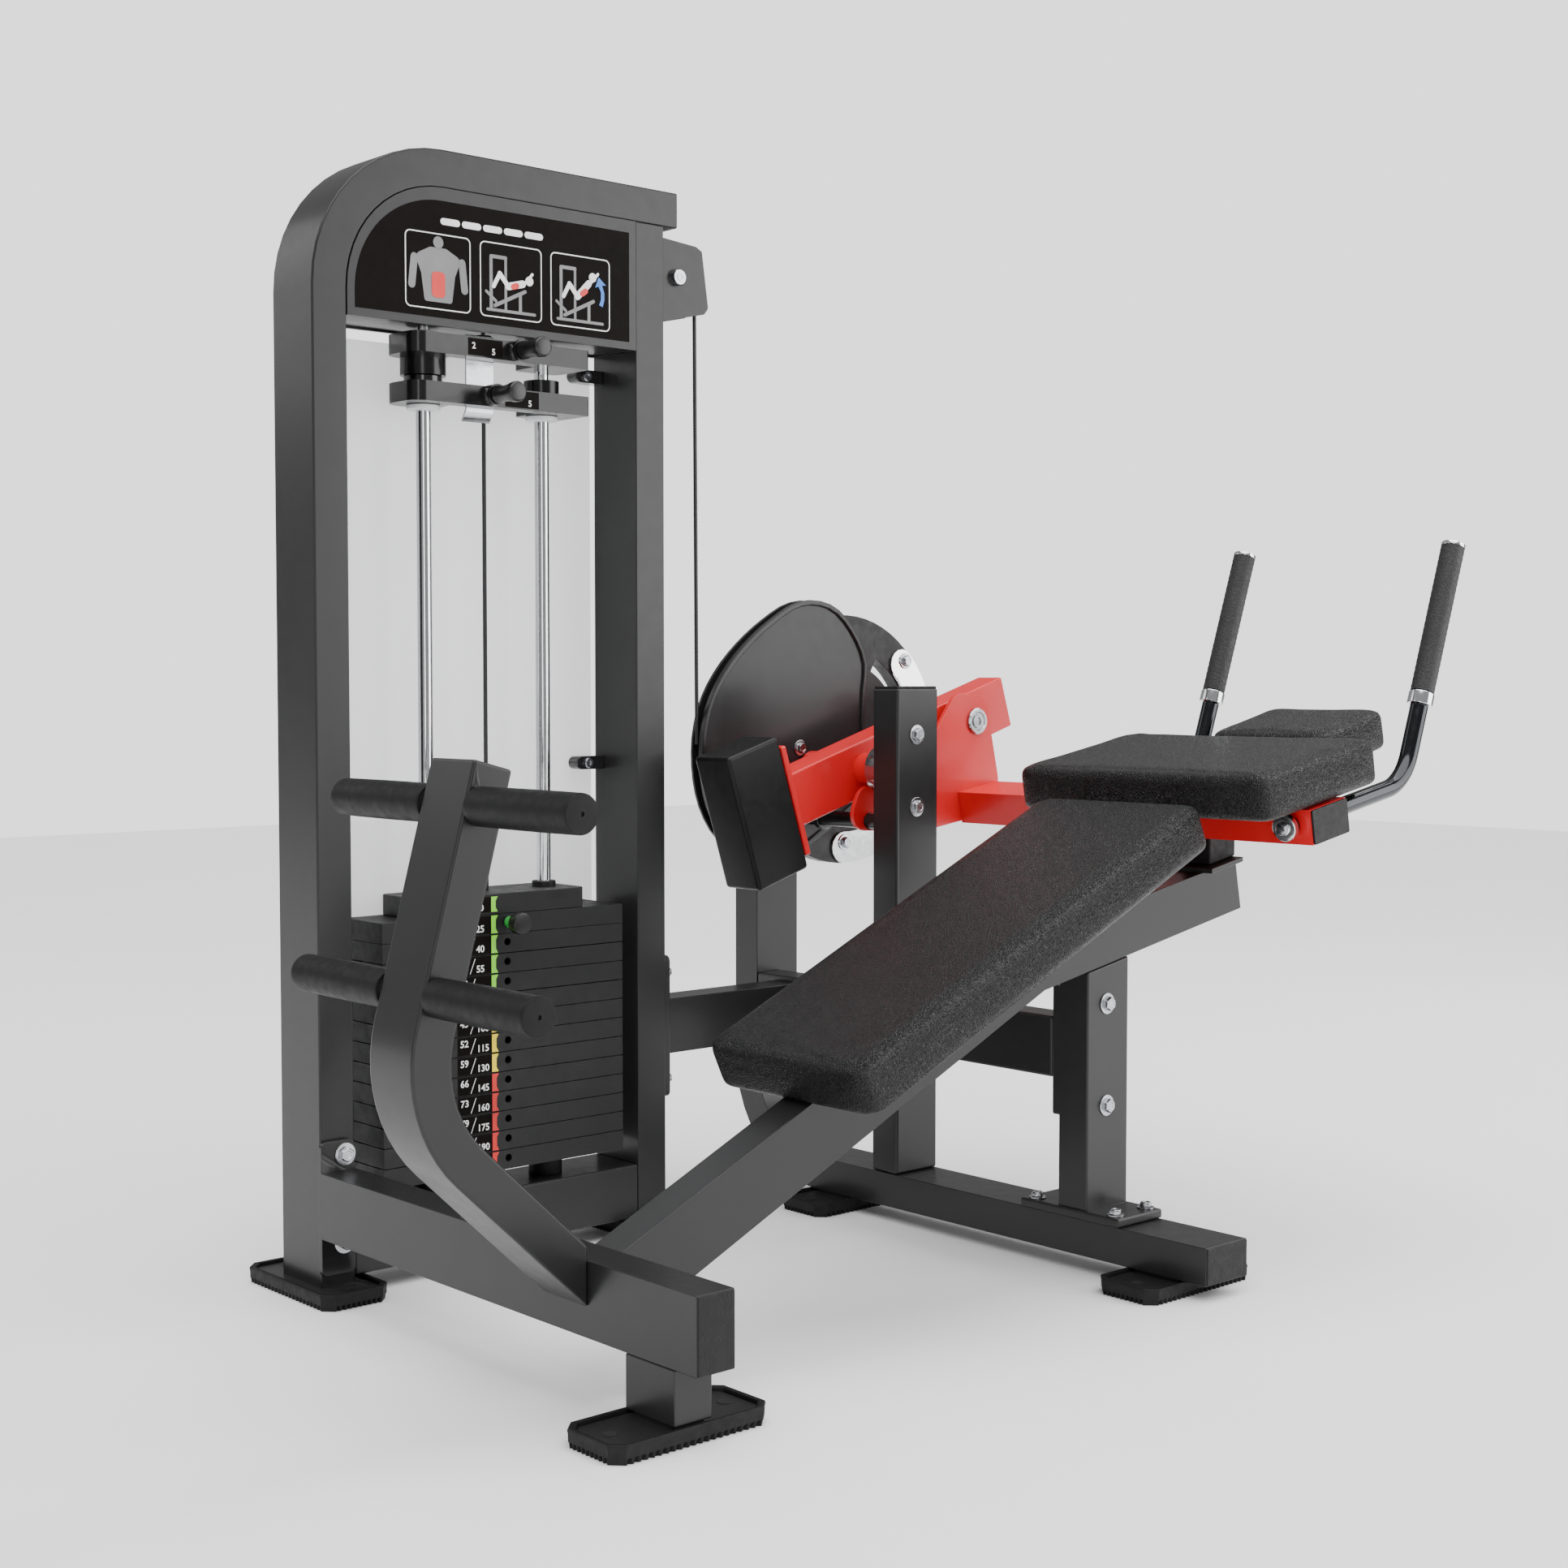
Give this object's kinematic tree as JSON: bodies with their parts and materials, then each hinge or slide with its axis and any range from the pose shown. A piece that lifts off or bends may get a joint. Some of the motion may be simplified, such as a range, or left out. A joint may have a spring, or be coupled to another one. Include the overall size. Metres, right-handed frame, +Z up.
{
  "type": "abdominal crunch machine",
  "caption": "Weight-stack abdominal crunch machine: sloping bench, swinging back and head pads with handles, foot rollers and a cable-driven tower.",
  "frame": {"origin": "centre of the bounding box's underside, on the floor", "axes": "+X from the foot rollers to the head pad, +Y from the bench to the weight tower, +Z up"},
  "size_m": [1.7364, 0.943, 1.52],
  "materials": {
    "black_frame_paint": "satin powder coat",
    "red_arm_paint": "satin powder coat",
    "chrome": "polished",
    "zinc_steel": "brushed",
    "black_rubber": "matte",
    "black_upholstery": "grained vinyl over foam",
    "black_plate": "satin black enamel",
    "coated_rope": "smooth coated steel rope",
    "white_sheet": "translucent white sheet",
    "green_plastic": "green stem with a black knob",
    "black_plastic": "gloss black"
  },
  "bodies": {
    "frame": {"tower_frame": "black_frame_paint", "tower_rear_upright": "black_frame_paint", "tower_lower_beam": "black_frame_paint", "placard_housing": "black_frame_paint", "rear_pulley_bracket": "black_frame_paint", "front_base_beam": "black_frame_paint", "front_stub": "black_frame_paint", "footrest_arm": "black_frame_paint", "bench_beam": "black_frame_paint", "rear_frame": "black_frame_paint", "shaft_post": "black_frame_paint", "bench_post": "black_frame_paint", "tie_beam": "black_frame_paint", "guide_rod_left": "chrome", "guide_rod_right": "chrome", "hanger_strap": "zinc_steel", "shaft_bearing_near": "zinc_steel", "shaft_bearing_far": "zinc_steel", "rod_bumper_left": "black_rubber", "rod_bumper_right": "black_rubber", "foot_tower_front": "black_rubber", "foot_tower_rear": "black_rubber", "foot_footrest": "black_rubber", "foot_bench": "black_rubber", "foot_cam": "black_rubber", "bench_stop_bumper": "black_rubber", "bench_pad": "black_upholstery", "resting_plates": "black_plate", "lift_cable": "coated_rope", "over_cable": "coated_rope", "shroud_panel": "white_sheet"},
    "moving_weight": {"top_plate": "black_plate", "head_plate": "black_plate", "selector_stem": "zinc_steel"},
    "selector_pin": {"selector_pin": "green_plastic"},
    "addon_lower": {"addon_weight_lower": "black_plate"},
    "addon_upper": {"addon_weight_upper": "black_plate"},
    "knob_lower": {"addon_knob_lower": "black_plastic"},
    "knob_upper": {"addon_knob_upper": "black_plastic"},
    "front_pulley": {"front_pulley": "zinc_steel"},
    "rear_pulley": {"rear_pulley": "zinc_steel"},
    "arm": {"swing_lever": "red_arm_paint", "counterweight": "black_plate", "arm_gusset": "red_arm_paint", "drive_rod": "black_frame_paint", "cam_disc": "black_frame_paint", "cam_cable": "coated_rope", "range_plate": "black_plate", "range_strip": "chrome", "pad_tube": "red_arm_paint", "back_pad": "black_upholstery", "head_pad": "black_upholstery"},
    "handle_near": {"handle_tube_near": "chrome", "handle_grip_near": "black_rubber"},
    "handle_far": {"handle_tube_far": "chrome", "handle_grip_far": "black_rubber"},
    "roller_upper_near": {"foot_roller_upper_near": "black_upholstery"},
    "roller_upper_far": {"foot_roller_upper_far": "black_upholstery"},
    "roller_lower_near": {"foot_roller_lower_near": "black_upholstery"},
    "roller_lower_far": {"foot_roller_lower_far": "black_upholstery"}
  },
  "joints": [
    {"name": "arm_swing", "type": "hinge", "parent": "frame", "child": "arm", "pos_m": [0.2576, -0.2415, 0.677], "axis": [0, -1, 0], "range_deg": [0, 48]},
    {"name": "stack_lift", "type": "slide", "parent": "frame", "child": "moving_weight", "axis": [0, 0, 1], "range_m": [0, 0.1862], "deforming": ["lift_cable"]},
    {"name": "front_pulley_turn", "type": "hinge", "parent": "frame", "child": "front_pulley", "pos_m": [-0.2914, 0.3545, 1.404], "axis": [0, 1, 0], "range_deg": [0, 197.6]},
    {"name": "rear_pulley_turn", "type": "hinge", "parent": "frame", "child": "rear_pulley", "pos_m": [-0.0204, 0.3545, 1.404], "axis": [0, 1, 0], "range_deg": [0, 197.6]},
    {"name": "selector_pull", "type": "slide", "parent": "moving_weight", "child": "selector_pin", "axis": [0, -1, 0], "range_m": [0, 0.06]},
    {"name": "addon_lower_drop", "type": "slide", "parent": "frame", "child": "addon_lower", "axis": [0, 0, 1], "range_m": [-0.65, 0]},
    {"name": "addon_upper_drop", "type": "slide", "parent": "frame", "child": "addon_upper", "axis": [0, 0, 1], "range_m": [-0.65, 0]},
    {"name": "knob_lower_pull", "type": "slide", "parent": "addon_lower", "child": "knob_lower", "axis": [0, -1, 0], "range_m": [0, 0.012], "stiffness_N_per_m": 400},
    {"name": "knob_upper_pull", "type": "slide", "parent": "addon_upper", "child": "knob_upper", "axis": [0, -1, 0], "range_m": [0, 0.012], "stiffness_N_per_m": 400},
    {"name": "handle_near_swivel", "type": "hinge", "parent": "arm", "child": "handle_near", "pos_m": [0.4406, -0.4275, 0.61], "axis": [0.9836, 0, 0.1805], "range_deg": [0, 80]},
    {"name": "handle_far_swivel", "type": "hinge", "parent": "arm", "child": "handle_far", "pos_m": [0.4406, -0.0495, 0.61], "axis": [-0.9836, 0, -0.1805], "range_deg": [0, 80]},
    {"name": "roller_upper_near_spin", "type": "hinge", "parent": "frame", "child": "roller_upper_near", "pos_m": [-0.7844, -0.2415, 0.679], "axis": [0, 1, 0], "continuous": true},
    {"name": "roller_upper_far_spin", "type": "hinge", "parent": "frame", "child": "roller_upper_far", "pos_m": [-0.7844, -0.2415, 0.679], "axis": [0, 1, 0], "continuous": true},
    {"name": "roller_lower_near_spin", "type": "hinge", "parent": "frame", "child": "roller_lower_near", "pos_m": [-0.8374, -0.2415, 0.482], "axis": [0, 1, 0], "continuous": true},
    {"name": "roller_lower_far_spin", "type": "hinge", "parent": "frame", "child": "roller_lower_far", "pos_m": [-0.8374, -0.2415, 0.482], "axis": [0, 1, 0], "continuous": true}
  ],
  "couplings": [
    {"joint": "stack_lift", "follows": "arm_swing", "m_per_rad": 0.222},
    {"joint": "front_pulley_turn", "follows": "arm_swing", "ratio": 4.1111},
    {"joint": "rear_pulley_turn", "follows": "arm_swing", "ratio": 4.1111},
    {"joint": "addon_upper_drop", "follows": "addon_lower_drop", "ratio": 1}
  ]
}
